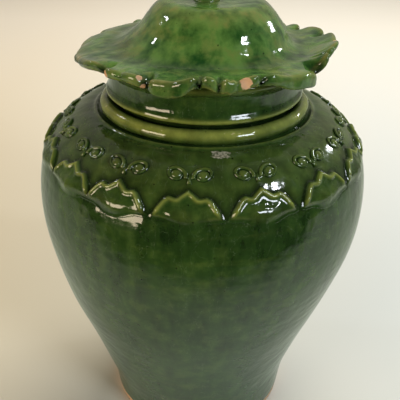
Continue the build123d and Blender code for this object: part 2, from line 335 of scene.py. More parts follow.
def leaf_height(across, up):
    """Height of the leaf's relief, and how thinly glaze covers it there."""
    depth = distance_inside(np.stack([across, up], axis=1), leaf_line)
    top_side = ease(up, -9, -1)
    soft = 0.9 + 6.0 * (1 - top_side)
    body = (LOW_THICKNESS + TOP_THICKNESS * top_side + BED) * ease(depth, -1.3, soft) - BED
    rim = RIM_HEIGHT * np.exp(-(((depth - 1.9) / 1.4) ** 2)) * top_side
    swelling = SWELL_HEIGHT * np.exp(-((across / 15) ** 2) - ((up + 5.5) / 6.0) ** 2) * ease(depth, 0, 6)
    dish = -DISH_DEPTH * ease(depth, 3.2, 6.5) * ease(up, -4, 2)
    inner = ease(depth, 1.5, 4)
    midrib = MIDRIB_HEIGHT * np.exp(-((across / 1.5) ** 2)) * inner
    vein_line = np.abs(np.abs(across) * 0.62 - (up + 7))
    veins = VEIN_HEIGHT * np.exp(-((vein_line / 1.3) ** 2)) * inner * ease(np.abs(across), 1, 4)
    thin = RIM_THIN * np.exp(-(((depth - 1.8) / 1.3) ** 2)) * top_side + 0.06 * swelling
    return body + rim + swelling + dish + midrib + veins, thin


def patch(width, height, cell, relief, middle_height, backing):
    """A closed relief laid on the shoulder, kept where it stands above the jar or is just bedded in it."""
    across = np.arange(-width / 2, width / 2 + cell, cell)
    up = np.arange(-height / 2, height / 2 + cell, cell)
    grid_up, grid_across = np.meshgrid(up, across, indexing="ij")
    flat_across, flat_up = grid_across.ravel(), grid_up.ravel()
    stand, thin = relief(flat_across, flat_up)
    quads = grid_faces(len(up), len(across), wrap_columns=False)
    quads = quads[(stand[quads] > -BED + 0.01).any(axis=1)]
    front = on_shoulder(flat_across, flat_up, stand, middle_height)
    back = on_shoulder(flat_across, flat_up, np.full_like(stand, -backing), middle_height)
    edges = np.concatenate([quads[:, [k, (k + 1) % 4]] for k in range(4)])
    sides = {tuple(e) for e in edges.tolist()}
    rim = [(a, b) for a, b in sides if (b, a) not in sides]
    count = len(stand)
    faces = quads.tolist()
    faces += (quads[:, ::-1] + count).tolist()
    faces += [(b, a, a + count, b + count) for a, b in rim]
    used = np.unique(np.array([i for f in faces for i in f]))
    renumber = np.zeros(2 * count, int)
    renumber[used] = np.arange(len(used))
    points = np.vstack([front, back])[used]
    stands = ease(np.concatenate([stand, np.full(count, -1.0)])[used], -0.2, 0.8)
    thins = np.concatenate([thin, np.zeros(count)])[used]
    # Low parts along the leaf's upper edges are marked dark: pooled glaze, and painted shade under the
    # raised edges.
    pools_and_shade = (1 - ease(np.concatenate([stand, np.full(count, 1.0)])[used], -0.1, 0.9)) * ease(
        np.concatenate([flat_up, flat_up])[used], -9, -3
    )
    faces = [[renumber[i] for i in face] for face in faces]
    return points, faces, {"thin": thins, "stands": stands, "pool": pools_and_shade}


leaf = make_piece("leaf_pattern", *patch(55, 31, LEAF_CELL, leaf_height, LEAF_MIDDLE, 1.2))

# %% Mark where glaze pools and where shade is painted on the jar
LEAF_ANGLES = [
    -4.3, 19.1, 43.1, 66.0, 88.0, 110.5, 133.0, 155.0,
    177.5, 200.0, 222.5, 245.0, 267.5, 290.0, 312.1, 332.5,
]
SCAR_AND_REFLECTION_PLACE = (12.3, -96.0)      # where something stuck to the shoulder in the kiln and was broken off; its pale patch also paints the reflection of a light behind
SCAR_AND_REFLECTION_SIZE = (8.2, 5.4)

radius = np.hypot(jar_points[:, 0], jar_points[:, 1])
height = jar_points[:, 2]
outside = radius > np.interp(height, jar_side[:, 1], jar_side[:, 0]) - 2
near_relief = outside & (height > 258) & (height < 292)
turned = np.degrees(np.arctan2(jar_points[near_relief, 0], -jar_points[near_relief, 1]))
apart = (turned[:, None] - np.array(LEAF_ANGLES) + 180) % 360 - 180
nearest = apart[np.arange(len(apart)), np.abs(apart).argmin(axis=1)]
across = np.radians(nearest) * radius[near_relief]
up = np.interp(height[near_relief], jar_side[:, 1], jar_length)
up -= np.interp(LEAF_MIDDLE, jar_side[:, 1], jar_length)
gap = -distance_inside(np.stack([across, up], axis=1), leaf_line)
# Dark round the leaves' upper edges and in the groove at the bead's foot: pooled glaze and painted shade.
pool = np.zeros(len(jar_points))
pool[near_relief] = np.exp(-((np.maximum(gap, 0) / 4.0) ** 2)) * ease(up, -14, -4)
# The scar's pale patch is a rough kiln scar and also a painted reflection of a light behind the crock.
scar_and_reflection_way = (jar_points[:, :2] - SCAR_AND_REFLECTION_PLACE) / SCAR_AND_REFLECTION_SIZE
scar_and_reflection = np.exp(-(scar_and_reflection_way**4).sum(axis=1)) * (height > 295)
pool += outside * 0.4 * np.exp(-(((radius - 86.5) / 1.8) ** 2)) * (height > 298)
# The shoulder and the step ridge are paler: thin glaze, plus painted light on the upward shoulder and a
# painted highlight line on the ridge.
shoulder_thin_and_lit = 0.09 * ease(height, 262, 292) * (1 - ease(height, 301, 302))
ridge_thin_and_glint = 0.25 * np.exp(-(((radius - 89.4) / 1.2) ** 2)) * (height > 301)
jar = make_piece("jar_wall", jar_points, jar_faces, {
    "thin": outside * (shoulder_thin_and_lit + ridge_thin_and_glint), "pool": pool,
    "scar_and_reflection": scar_and_reflection,
})

# %% [markdown]
# ## The curled tendrils
#
# A pair of curls stands on each leaf's head, made from a thin rolled strand with a small ball at its eye.
# A curl is a rule, a spiral whose strand tapers, so Geometry Nodes draw it: a Spiral curve, a radius that
# shrinks along it, and Curve to Mesh. The tree's sizes are named inputs, so a taller curl is one number.

# %% Build node trees
def add(tree, kind, inputs=None, **settings):
    """Adds a node. Inputs are named or numbered, and each is a socket to link or a value to set."""
    node = tree.nodes.new(kind)
    for name, value in settings.items():
        setattr(node, name, value)
    for name, value in (inputs or {}).items():
        socket = node.inputs[name]
        if isinstance(value, bpy.types.NodeSocket):
            tree.links.new(value, socket)
        else:
            socket.default_value = value
    return node


def geometry_tree(name, inputs):
    """An empty Geometry Nodes tree with named inputs; inputs are (name, socket type) pairs."""
    tree = bpy.data.node_groups.new(name, "GeometryNodeTree")
    tree.interface.new_socket("Geometry", in_out="INPUT", socket_type="NodeSocketGeometry")
    for label, kind in inputs:
        tree.interface.new_socket(label, in_out="INPUT", socket_type="NodeSocket" + kind)
    tree.interface.new_socket("Geometry", in_out="OUTPUT", socket_type="NodeSocketGeometry")
    return tree, tree.nodes.new("NodeGroupInput").outputs


def run_tree(tree, start, values):
    """The plain mesh that a tree makes from a start object, with its inputs set by identifier."""
    modifier = start.modifiers.new(tree.name, "NODES")
    modifier.node_group = tree
    for item in tree.interface.items_tree:
        if item.in_out == "INPUT" and item.name in values:
            modifier[item.identifier] = values[item.name]
    bpy.context.view_layer.update()
    ready = start.evaluated_get(bpy.context.evaluated_depsgraph_get())
    mesh = bpy.data.meshes.new_from_object(ready)
    start.modifiers.remove(modifier)
    return mesh


def point_object(name, places, marks=None):
    """An object that holds only points, for a tree to start from."""
    mesh = bpy.data.meshes.new(name)
    mesh.from_pydata(places, [], [])
    for mark, values in (marks or {}).items():
        mesh.attributes.new(mark, "FLOAT", "POINT").data.foreach_set("value", np.float32(values))
    holder = bpy.data.objects.new(name, mesh)
    bpy.context.scene.collection.objects.link(holder)
    return holder


# %% One pair of curls, flat
curl_tree, given = geometry_tree("curl_pair", [
    ("Curl Radius", "Float"), ("Eye Radius", "Float"), ("Turns", "Float"), ("Spacing", "Float"),
    ("Strand", "Float"), ("Stem", "Float"), ("Material", "Material"),
])
spiral = add(curl_tree, "GeometryNodeCurveSpiral", {
    "Resolution": 28, "Rotations": given["Turns"], "Start Radius": given["Curl Radius"],
    "End Radius": given["Eye Radius"], "Height": 0.0,
})
place = add(curl_tree, "ShaderNodeCombineXYZ", {"X": given["Spacing"]})
right = add(curl_tree, "GeometryNodeTransform", {
    "Geometry": spiral.outputs[0], "Translation": place.outputs[0],
    "Rotation": (0, 0, radians(205)), "Scale": (1, 0.78, 1),
})
left = add(curl_tree, "GeometryNodeTransform", {"Geometry": right.outputs[0], "Scale": (-1, 1, 1)})
stem_low = add(curl_tree, "ShaderNodeVectorMath", {0: (0, -1, 0), "Scale": given["Stem"]},
               operation="SCALE")
stem = add(curl_tree, "GeometryNodeCurvePrimitiveLine", {"Start": stem_low.outputs[0], "End": (0, 0, 0)})
strands = add(curl_tree, "GeometryNodeJoinGeometry")
for curve in (right, left, stem):
    curl_tree.links.new(curve.outputs[0], strands.inputs[0])
along = add(curl_tree, "GeometryNodeSplineParameter")
taper = add(curl_tree, "ShaderNodeMapRange", {
    "Value": along.outputs["Factor"], "To Min": 1.0, "To Max": 0.62,
})
tapered = add(curl_tree, "GeometryNodeSetCurveRadius", {
    "Curve": strands.outputs[0], "Radius": taper.outputs[0],
})
section = add(curl_tree, "GeometryNodeCurvePrimitiveCircle", {"Resolution": 10, "Radius": given["Strand"]})
radius = add(curl_tree, "GeometryNodeInputRadius")
swept = add(curl_tree, "GeometryNodeCurveToMesh", {
    "Curve": tapered.outputs[0], "Profile Curve": section.outputs[0], "Scale": radius.outputs[0],
    "Fill Caps": True,
})
eye_size = add(curl_tree, "ShaderNodeMath", {0: given["Eye Radius"], 1: 1.35}, operation="MULTIPLY")
ball = add(curl_tree, "GeometryNodeMeshIcoSphere", {"Radius": eye_size.outputs[0], "Subdivisions": 3})
ball_right = add(curl_tree, "GeometryNodeTransform", {
    "Geometry": ball.outputs["Mesh"], "Translation": place.outputs[0], "Scale": (1, 0.85, 0.55),
})
ball_left = add(curl_tree, "GeometryNodeTransform", {
    "Geometry": ball_right.outputs[0], "Scale": (-1, 1, 1),
})
whole = add(curl_tree, "GeometryNodeJoinGeometry")
for part in (swept, ball_right, ball_left):
    curl_tree.links.new(part.outputs[0], whole.inputs[0])
real = add(curl_tree, "GeometryNodeRealizeInstances", {0: whole.outputs[0]})
coated = add(curl_tree, "GeometryNodeSetMaterial", {
    "Geometry": real.outputs[0], "Material": given["Material"],
})
add(curl_tree, "NodeGroupOutput", {0: coated.outputs[0]})
print("curl tree:", len(curl_tree.nodes), "nodes")


# %% Lay the curls above the leaf
CURLS_MIDDLE = 293.2
CURL_SIZES = {
    "Curl Radius": 7.2, "Eye Radius": 3.0, "Turns": 1.3, "Spacing": 9.4, "Strand": 1.9, "Stem": 7.0,
}
start = point_object("curl_start", [(0, 0, 0)])
flat_curls = run_tree(curl_tree, start, CURL_SIZES)
flat = np.array([v.co for v in flat_curls.vertices])
flat_height = flat[:, 2] * 0.95 + 0.1
lowest = -1.2
points = on_shoulder(flat[:, 0], flat[:, 1], np.maximum(flat_height, lowest), CURLS_MIDDLE)
# The curls' low sides are dark: pooled glaze and painted shade round each strand; their tops are thin
# olive.
curls = make_piece(
    "curl_pattern", points, [tuple(p.vertices) for p in flat_curls.polygons],
    {
        "thin": 0.24 * ease(flat_height, 0.9, 1.9), "stands": ease(flat_height, 0.1, 1.0),
        "pool": 1 - ease(flat_height, 0.1, 1.1),
    },
)

# %% [markdown]
# ## Setting the relief round the shoulder
#
# The potter set sixteen leaves by eye, so their spacing is a little uneven and no two were pressed alike. A
# tree does this from sixteen points that carry only an angle: it turns a copy of the pattern to each, makes
# the copies real, and then moves their raised parts by a slow noise. The noise is read where each copy
# lies, so every leaf is worn differently, while the bedded edges stay where they are.

# %% Repeat round the shoulder
round_tree, given = geometry_tree("set_round_the_shoulder", [
    ("Pattern", "Object"), ("Wear", "Float"), ("Wear Size", "Float"), ("Seed", "Float"),
    ("Material", "Material"),
])
pattern = add(round_tree, "GeometryNodeObjectInfo", {"Object": given["Pattern"]},
              transform_space="ORIGINAL")
turn_by = add(round_tree, "GeometryNodeInputNamedAttribute", {"Name": "turn"}, data_type="FLOAT")
spin = add(round_tree, "ShaderNodeCombineXYZ", {"Z": turn_by.outputs["Attribute"]})
copies = add(round_tree, "GeometryNodeInstanceOnPoints", {
    "Points": given["Geometry"], "Instance": pattern.outputs["Geometry"], "Rotation": spin.outputs[0],
})
real = add(round_tree, "GeometryNodeRealizeInstances", {0: copies.outputs[0]})
where = add(round_tree, "GeometryNodeInputPosition")
pitch = add(round_tree, "ShaderNodeMath", {0: 1.0, 1: given["Wear Size"]}, operation="DIVIDE")
worn = add(round_tree, "ShaderNodeTexNoise", {
    "Vector": where.outputs[0], "W": given["Seed"], "Scale": pitch.outputs[0], "Detail": 2.0,
}, noise_dimensions="4D")
centred = add(round_tree, "ShaderNodeMath", {0: worn.outputs[0], 1: 0.5}, operation="SUBTRACT")
stands = add(round_tree, "GeometryNodeInputNamedAttribute", {"Name": "stands"}, data_type="FLOAT")
amount = add(round_tree, "ShaderNodeMath", {0: centred.outputs[0], 1: given["Wear"]}, operation="MULTIPLY")
amount = add(round_tree, "ShaderNodeMath", {0: amount.outputs[0], 1: stands.outputs["Attribute"]},
             operation="MULTIPLY")
outwards = add(round_tree, "GeometryNodeInputNormal")
shift = add(round_tree, "ShaderNodeVectorMath", {0: outwards.outputs[0], "Scale": amount.outputs[0]},
            operation="SCALE")
moved = add(round_tree, "GeometryNodeSetPosition", {
    "Geometry": real.outputs[0], "Offset": shift.outputs[0],
})
coated = add(round_tree, "GeometryNodeSetMaterial", {
    "Geometry": moved.outputs[0], "Material": given["Material"],
})
add(round_tree, "NodeGroupOutput", {0: coated.outputs[0]})

round_start = point_object(
    "relief_places", [(0, 0, 0)] * len(LEAF_ANGLES), {"turn": [radians(a) for a in LEAF_ANGLES]}
)


def set_round(name, pattern_piece, wear, wear_size, seed):
    """One mesh of all the copies of a pattern, which is then taken out of the scene."""
    mesh = run_tree(round_tree, round_start, {
        "Pattern": pattern_piece, "Wear": wear * MM, "Wear Size": wear_size * MM, "Seed": float(seed),
    })
    bpy.data.objects.remove(pattern_piece)
    return finish_piece(name, mesh)


leaf_band = set_round("leaf_relief", leaf, wear=1.7, wear_size=16, seed=5)
curl_band = set_round("curl_relief", curls, wear=1.1, wear_size=12, seed=6)
for helper in (start, round_start):
    bpy.data.objects.remove(helper)

# %% [markdown]
# ## The lid
#
# The lid was thrown like a hat, then its brim was lifted and pressed into waves and its edge pinched into
# scallops. That is three rules on one surface: a turned section, a wave that grows towards the edge, and a
# notch that pulls the edge in and leaves a short flute on top. The edge is thick and soft. Where it was
# knocked, a flake of clay is gone, which is a scoop in the mesh and bare clay in the material.

# %% The brim's hand-made edge
BRIM_RADIUS = 103.2
BRIM_TOP = 353.2
BRIM_UNDER = 345.2
BRIM_FLAT = 80
EDGE_ROUND = 3.6

# Angle in degrees, then the height of the edge's upper lip and of its underside. The front hangs in broad
# lobes, the right side is folded up and the left side and the back sink again.
EDGE_HEIGHTS = [
    (-77, 346.5, 341.5), (-66, 350.5, 344), (-56, 354, 347), (-48.5, 357.5, 350), (-43.5, 355, 347.5),
    (-34, 355.5, 348), (-26, 355.5, 346.5), (-21, 354, 342.5), (-14, 354, 340.8), (-8, 356.5, 344.5),
    (-2, 361, 353), (4, 358.5, 348.5), (8, 357, 346.5), (14, 357.5, 348), (22.5, 361, 352.5),
    (30, 357.5, 348), (36, 354.5, 343), (44, 353, 341), (53, 350.5, 338.8), (57.5, 360.5, 350.5),
    (61, 364.5, 355.5), (66, 366, 358), (78, 364.5, 357.5), (88, 363, 355.5), (102, 361, 353.5),
    (113, 358.5, 350.5), (124, 355.5, 347.5), (134, 353, 345), (147, 355.5, 347.5), (160, 358, 350),
    (175, 354, 346), (190, 349, 341), (205, 351.5, 343.5), (218, 350.5, 342.5), (225, 347, 339.8),
    (236, 347.5, 340), (248, 347.3, 340), (258, 346.4, 339.5), (270, 345.6, 339.5),
]
# Angle of each pinch and how deep it is. The front was pinched less evenly than the rest.
FRONT_PINCHES = [
    (-153, 5.0), (-145, 6.0), (-136, 6.4), (-127, 6.8), (-112, 4.6), (-93, 1.0), (-68, 0.8), (-46, 7.0),
    (-35, 2.0), (-23.5, 7.0), (-12, 1.0), (-2, 7.0), (5.5, 5.4), (12.5, 2.4), (22.5, 6.6), (37, 0.8),
    (56, 8.0), (62, 6.2), (68.5, 4.4), (84, 1.6), (102, 5.0), (124, 5.4),
]
PINCH_SHARPNESS = 2.9


def round_curve(pairs, at):
    """A smooth closed curve through (angle, value) pairs, read at angles in degrees."""
    angles = np.array([p[0] for p in pairs], float)
    values = np.array([p[1] for p in pairs], float)
    angles = np.concatenate([angles[-2:] - 360, angles, angles[:3] + 360])
    values = np.concatenate([values[-2:], values, values[:3]])
    line = smooth_line(np.stack([angles, values], axis=1), 1.0)
    at = (np.asarray(at) - pairs[0][0]) % 360 + pairs[0][0]
    return np.interp(at, line[:, 0], line[:, 1])


def pinches():
    """Every pinch round the brim: the front ones, and the rest at an even spacing with a little chance."""
    dice = np.random.default_rng(11)
    first, last = FRONT_PINCHES[-1][0], FRONT_PINCHES[0][0] + 360
    others = np.linspace(first, last, 9)[1:-1]
    others = others + dice.uniform(-1.6, 1.6, len(others))
    depths = dice.uniform(2.8, 4.6, len(others))
    return FRONT_PINCHES + list(zip(others.tolist(), depths.tolist()))


def pinched(at):
    """How far the edge is pulled in at each angle in degrees, in millimetres, sharpest at a pinch."""
    places = sorted(pinches())
    angles = np.array([p[0] for p in places])
    depths = np.array([p[1] for p in places])
    at = (np.asarray(at) - angles[0]) % 360 + angles[0]
    left = np.searchsorted(angles, at, side="right") - 1
    right_angle = np.append(angles, angles[0] + 360)[left + 1]
    right_depth = np.append(depths, depths[0])[left + 1]
    width = right_angle - angles[left]
    from_left = (at - angles[left]) / width
    pull_left = depths[left] * np.clip(1 - 2 * from_left, 0, 1) ** PINCH_SHARPNESS
    pull_right = right_depth * np.clip(2 * from_left - 1, 0, 1) ** PINCH_SHARPNESS
    return pull_left + pull_right


print("pinches round the brim:", len(pinches()))

# %% The lid's surface
LID_STEPS = 520
FLUTE_DEPTH = 0.8       # how deep a pinch's flute is, as a share of how far the pinch pulls the edge in
CHIPS = [                # angle in degrees, height above the edge's middle, radius of the missing flake
    (15.4, 0.4, 4.3), (-25.6, 3.0, 2.7), (-24.6, -3.6, 2.1), (-42.5, -1.0, 2.8), (80.0, 0.5, 3.2),
    (-118.0, 1.5, 2.8), (152.0, 0.5, 3.0),
]
CROWN_SECTION = [
    (0, 386.2), (12, 386.2), (26, 386.5), (34.5, 386.8), (40.6, 385.4), (45.8, 381.6), (50.8, 376),
    (56, 369), (61, 362.2), (66.5, 356.8), (72.5, 353.9), (BRIM_FLAT, BRIM_TOP),
]
CROWN_INSIDE = [
    (64, 346.5), (63.2, 349), (58.5, 353.5), (53.5, 360), (48, 368), (44, 374.5), (38, 379.2),
    (26, 380.4), (0, 380.5),
]
deg = np.linspace(0, 360, LID_STEPS, endpoint=False)
lid_angle = np.radians(deg)
lip = round_curve([(a, top) for a, top, _ in EDGE_HEIGHTS], deg)
underside = round_curve([(a, low) for a, _, low in EDGE_HEIGHTS], deg)
pull = pinched(deg)
edge_radius = BRIM_RADIUS - pull + 0.5 * wander(np.stack([deg, deg * 0], axis=1), 9, 12) - 0.5


def out_share(radius):
    """How far out a place on the brim is, from 0 where it starts to lift to 1 at the edge."""
    return np.clip((radius - BRIM_FLAT) / (BRIM_RADIUS - BRIM_FLAT), 0, 1.1) ** 1.5


def brim_row(radius, below_lip, flute):
    """One row of the brim's upper side; flute is how much of a pinch's flute it takes."""
    height = BRIM_TOP + out_share(radius) * (lip - BRIM_TOP)
    return around(radius, lid_angle, height - below_lip - flute * FLUTE_DEPTH * pull)


def under_row(radius, above, flute):
    """One row of the brim's underside."""
    height = BRIM_UNDER + out_share(radius) * (underside - BRIM_UNDER)
    return around(radius, lid_angle, height + above - flute * FLUTE_DEPTH * pull)


rows = []
for radius, height in smooth_line(CROWN_SECTION, 1.9):
    rows.append(around(radius, lid_angle, np.full(LID_STEPS, height)))
flat_end = edge_radius - EDGE_ROUND
for share in np.linspace(0, 1, 20)[1:]:
    radius = BRIM_FLAT + (flat_end - BRIM_FLAT) * share
    rows.append(brim_row(radius, 0, ease(share, 0.35, 1)))
for a in np.linspace(0, pi / 2, 7)[1:]:
    rows.append(brim_row(flat_end + EDGE_ROUND * sin(a), EDGE_ROUND * (1 - cos(a)), 1))
for a in np.linspace(pi / 2, 0, 7):
    rows.append(under_row(flat_end + EDGE_ROUND * sin(a), EDGE_ROUND * (1 - cos(a)), 0.3))
for share in np.linspace(1, 0, 12)[1:]:
    rows.append(under_row(84 + (flat_end - 84) * share, 0, 0.3 * ease(share, 0.3, 1)))
for radius in (82, 74, 67, 64.5):
    rows.append(around(radius, lid_angle, np.full(LID_STEPS, BRIM_UNDER)))
for radius, height in smooth_line(CROWN_INSIDE, 3.2):
    rows.append(around(radius, lid_angle, np.full(LID_STEPS, height)))
points = np.vstack(rows)
faces = grid_faces(len(rows), LID_STEPS)
print(f"lid: {len(rows)} rows, edge radius {edge_radius.min():.1f} to {edge_radius.max():.1f} mm")

# %% Hand marks, a fold and chips on the lid
FOLD_ANGLE = 9.0
CROWN_LEAN = 4.8        # the crown was pushed to the right while it was wet
BELOW_SURFACE = 1.0     # how far inside the edge the middle of a chip's bare clay lies

radius = np.hypot(points[:, 0], points[:, 1])
angle = np.degrees(np.arctan2(points[:, 0], -points[:, 1]))
outer = np.arange(len(points)) < (len(smooth_line(CROWN_SECTION, 1.9)) + 33) * LID_STEPS
crown_part = ease(radius, 20, 45) * (1 - ease(radius, 96, 102)) * outer
marks = np.sin(2 * pi * points[:, 2] / 6.5 + np.radians(angle)) * (1 - ease(radius, 68, 78))
sideways = 0.55 * wander(points, 34, 14) + 0.10 * marks
points = push_out(points, crown_part * sideways * (1 - ease(radius, 70, 80)))
points[:, 2] += crown_part * 0.45 * wander(points, 20, 15) * ease(radius, 66, 80)
from_fold = (angle - FOLD_ANGLE) * np.radians(1) * radius
fold_part = ease(radius, 79, 90) * outer
points[:, 2] += fold_part * (
    0.9 * np.exp(-(((from_fold + 1.3) / 1.2) ** 2)) - 0.9 * np.exp(-(((from_fold - 1.2) / 1.3) ** 2))
)
points[:, 0] += CROWN_LEAN * ease(points[:, 2], 354, 369) * ease(radius, 16, 34) * (radius < 80)

chip_spots = []
for chip_angle, above, size in CHIPS:
    a = radians(chip_angle)
    k = int(round(chip_angle / 360 * LID_STEPS)) % LID_STEPS
    edge = edge_radius[k]
    level = (lip[k] + underside[k]) / 2
    centre = around(edge, np.array(a), level + above)
    inwards = around(-1.0, np.array(a), -0.25)
    distance = np.linalg.norm(points - centre, axis=1) / size
    scoop = (1 - ease(distance, 0.35, 1.05)) * (1.5 + 0.35 * wander(points, 2.5, 17))
    points = points + scoop[:, None] * inwards
    chip_spots.append((*(centre - BELOW_SURFACE * around(1.0, np.array(a), 0.0)), size))

pull_here = np.tile(pull, len(rows))
edge_here = np.tile(edge_radius, len(rows))
# Dark in the pinch flutes, on the edge's outer face and at the crown's foot: pooled glaze and painted
# shade. Pale along the lip's crest: thin glaze and a painted highlight.
flute_pool_and_shade = ease(pull_here, 1.2, 4.5) * ease(radius, 90, 98)
edge_face_pool_and_shade = 0.15 * ease(radius - edge_here, -1.0, -0.2)
crest_thin_and_glint = np.exp(-(((radius - edge_here + 2.2) / 1.7) ** 2)) * outer * (1 - 0.7 * flute_pool_and_shade)
ring_top = np.exp(-(((radius - 43) / 6) ** 2)) * outer * (points[:, 2] > 375)
crown_foot_pool_and_shade = 0.5 * np.exp(-(((radius - 74) / 7) ** 2)) * outer
lid = make_piece("lid_hat", points, faces, {
    "thin": 0.9 * crest_thin_and_glint * (0.75 + 0.3 * wander(points, 14, 23)) + 0.3 * ring_top,
    "pool": np.clip(flute_pool_and_shade + edge_face_pool_and_shade + crown_foot_pool_and_shade, 0, 1),
})

# %% [markdown]
# ## The knob
#
# Thrown knobs start as a lump that is collared in to a waist and rounded at the top. It is a turned outline
# again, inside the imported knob's box.

# %% Turn the knob
LID_TOP = 386.2
knob_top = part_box("lid_knob")[1].z / MM
KNOB_SECTION = [
    (0, LID_TOP - 1), (9.5, LID_TOP - 1), (11.2, LID_TOP + 0.2), (9.2, LID_TOP + 2.2), (7.7, LID_TOP + 5.6),
    (9.0, LID_TOP + 9.2), (12.4, LID_TOP + 12.6), (13.3, LID_TOP + 16.4), (11.6, LID_TOP + 21.2),
    (7.2, LID_TOP + 25.2), (2.6, LID_TOP + 27.2), (0, knob_top - 0.1),
]
points, faces = turn(smooth_line(KNOB_SECTION, 0.8), 96)
points = push_out(points, 0.25 * wander(points, 9, 19) - 0.15)
knob_radius = np.hypot(points[:, 0], points[:, 1])
knob = make_piece("knob", points, faces, {"thin": 0.8 * ease(knob_radius, 9.5, 13)})

# %% [markdown]
# ## Colour and glaze
#
# A lead glaze is a coloured glass. On the object it gives three things to the eye: a sharp, strong
# reflection, since its refractive index is higher than window glass; a colour that depends on its
# thickness; and small faults, such as pinholes, runs and a haze of scratches where it was handled. Each is
# a pattern at its own real size, added in layers, from the slow change of tone down to the pinholes.

# %% Colours
def colour(code):
    """A linear colour, with alpha, from an sRGB hex value."""
    values = [int(code[i:i + 2], 16) / 255 for i in (1, 3, 5)]
    return (*(v / 12.92 if v <= 0.04045 else ((v + 0.055) / 1.055) ** 2.4 for v in values), 1.0)


def new_material(name):
    """An empty node material and its tree."""
    material = bpy.data.materials.new(name)
    material.use_nodes = True
    material.node_tree.nodes.clear()
    return material, material.node_tree


def per_mm(size):
    """A noise scale whose bumps are about size millimetres across, on coordinates in metres."""
    return 1 / (size * MM)


# %% The glaze's patterns
GLAZE_IOR = 1.55
GLAZE_NOISES = {        # size in millimetres, detail, roughness, and how the pattern is stretched
    "slow": (70, 3.0, 0.5, (1, 1, 1)),
    "swell": (16, 2.0, 0.5, (1, 1, 1)),
    "mottle": (13, 5.0, 0.62, (1, 1, 1)),
    "runs": (9, 4.0, 0.5, (1, 1, 0.16)),
    "ripple": (5.5, 1.0, 0.5, (1, 1, 1)),
    "bands": (5, 3.0, 0.5, (0.12, 0.12, 1)),
    "fine": (2.2, 3.0, 0.5, (1, 1, 1)),
    "crust": (1.6, 2.0, 0.5, (1, 1, 1)),
}


def glaze_noises(tree, place):
    """The noises that the glaze's layers share, as sockets by name."""
    noises = {}
    for name, (size, detail, roughness, stretch) in GLAZE_NOISES.items():
        stretched = add(tree, "ShaderNodeMapping", {"Vector": place, "Scale": stretch})
        noises[name] = add(tree, "ShaderNodeTexNoise", {
            "Vector": stretched.outputs[0], "Scale": per_mm(size), "Detail": detail, "Roughness": roughness,
        }).outputs["Fac"]
    return noises


print("glaze patterns:", {name: f"{values[0]} mm" for name, values in GLAZE_NOISES.items()})

# %% Where the glaze is thin, rubbed or pooled, with painted highlights and painted shade
POOL_AND_SHADE_DEPTH = 0.8        # how much of the pooled colour, which is also painted shade, shows where a mesh is marked as a pool


def thickness_shares(tree, noises, patches):
    """Sockets that say how thin the glaze is, how far its thinnest places are rubbed pale, which also
    paints broken highlights, and how far it pools, which also paints shade. The places are marked on the
    mesh, and patches is how much the glaze also thins by chance."""
    thin_mark = add(tree, "ShaderNodeAttribute", attribute_name="thin")
    kept = add(tree, "ShaderNodeMapRange", {
        "Value": noises["mottle"], "From Min": 0.38, "From Max": 0.62, "To Min": 0.68, "To Max": 1.06,
    })
    marked = add(tree, "ShaderNodeMath", {0: thin_mark.outputs["Fac"], 1: kept.outputs[0]},
                 operation="MULTIPLY").outputs[0]
    patchy = add(tree, "ShaderNodeMapRange", {
        "Value": noises["mottle"], "From Min": 0.50, "From Max": 0.80, "To Max": patches,
    })
    broken = add(tree, "ShaderNodeMapRange", {
        "Value": noises["bands"], "From Min": 0.55, "From Max": 0.85, "To Max": 0.6 * patches,
    })
    thinness = crumbly = marked
    for chance in (patchy, broken):
        thinness = add(tree, "ShaderNodeMath", {0: thinness, 1: chance.outputs[0]},
                       operation="ADD", use_clamp=True).outputs[0]
    for chance in ("fine", "mottle"):
        crumbly = add(tree, "ShaderNodeMath", {0: crumbly, 1: noises[chance]}, operation="ADD").outputs[0]
    # Pale cream specks on the thinnest crests: rubbed glaze, and painted broken highlights.
    rubbed_and_glint = add(tree, "ShaderNodeMapRange", {
        "Value": crumbly, "From Min": 1.96, "From Max": 2.14, "To Max": 0.8,
    })
    # Pooled glaze, which is also painted shade in corners and under edges.
    pool_and_shade_mark = add(tree, "ShaderNodeAttribute", attribute_name="pool")
    pooled_and_shaded = add(tree, "ShaderNodeMath", {0: pool_and_shade_mark.outputs["Fac"], 1: POOL_AND_SHADE_DEPTH},
                 operation="MULTIPLY", use_clamp=True)
    return thinness, rubbed_and_glint.outputs[0], pooled_and_shaded.outputs[0]


# %% Pinholes, scratches, a pale haze towards the bottom, and the kiln scar with its painted reflection
PINHOLE_SPACING = 7     # millimetres between pinholes
LOW_HAZE_LINE = (110, 240)  # a pale blue-grey haze fades out between these heights in millimetres


